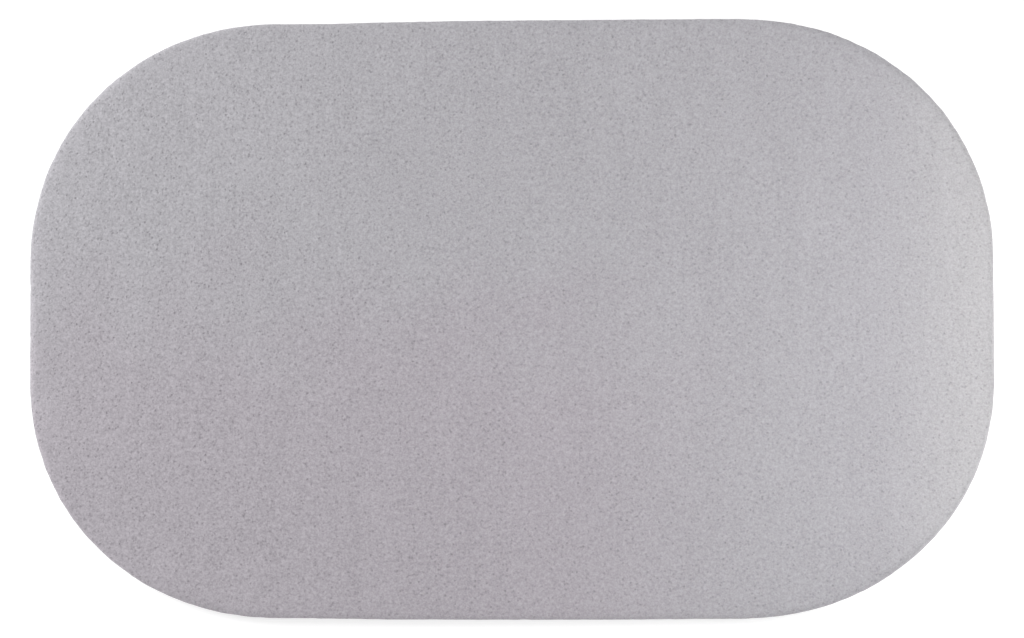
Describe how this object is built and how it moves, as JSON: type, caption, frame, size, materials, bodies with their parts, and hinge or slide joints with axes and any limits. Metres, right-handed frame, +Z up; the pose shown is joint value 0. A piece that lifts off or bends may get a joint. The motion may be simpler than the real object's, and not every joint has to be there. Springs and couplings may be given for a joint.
{
  "type": "bath mat",
  "caption": "Soft bath mat shaped as a rectangle with very large round corners: a foam core in a short-pile plush cover over a dotted anti-slip backing.",
  "frame": {"origin": "on the floor under the middle of the mat, at the bottom centre of its box", "axes": "+X along the mat's length, +Y along its width, +Z up out of the plush face"},
  "size_m": [0.8, 0.496, 0.015],
  "materials": {
    "plush": "sheared microfibre pile, matt with a soft sheen, light mauve-grey",
    "foam": "open-cell slow-recovery polyurethane foam, off-white",
    "backing": "plain-woven polyester cloth, matt grey",
    "grip": "soft clear-grey elastomer coating with low dots, satin",
    "thread": "two-ply polyester sewing thread, mauve-grey",
    "label": "blank white satin tape"
  },
  "bodies": {
    "root": {"plush_cover": "plush", "foam_core": "foam", "backing_cloth": "backing", "grip_coating": "grip", "seam_thread": "thread", "closing_stitches": "thread", "care_label": "label"}
  },
  "joints": []
}
